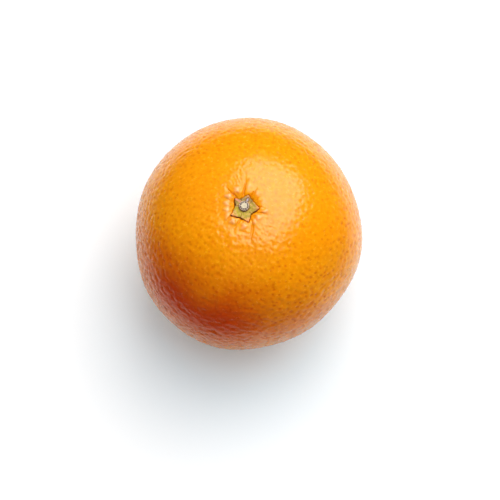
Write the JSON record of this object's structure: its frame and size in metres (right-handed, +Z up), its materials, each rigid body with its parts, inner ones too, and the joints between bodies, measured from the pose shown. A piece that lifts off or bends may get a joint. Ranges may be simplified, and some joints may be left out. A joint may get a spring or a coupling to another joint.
{
  "type": "orange",
  "caption": "Whole sweet orange with pitted peel, a shallow hollow with knobs and furrows round the stem end, a star-shaped calyx and a cut stub of stem, and a flat spot to stand on.",
  "frame": {"origin": "on the surface the orange stands on, under the middle of its box", "axes": "+Z up through the stem end, and +X to the picture's right"},
  "size_m": [0.0752, 0.0768, 0.0724],
  "materials": {
    "peel": "waxy orange peel with a soft gloss",
    "calyx": "dull yellow-green, drying to brown at the edges",
    "stem": "dry pale cut wood"
  },
  "bodies": {
    "root": {"fruit": "peel", "calyx": "calyx", "stem_stub": "stem"}
  },
  "joints": []
}
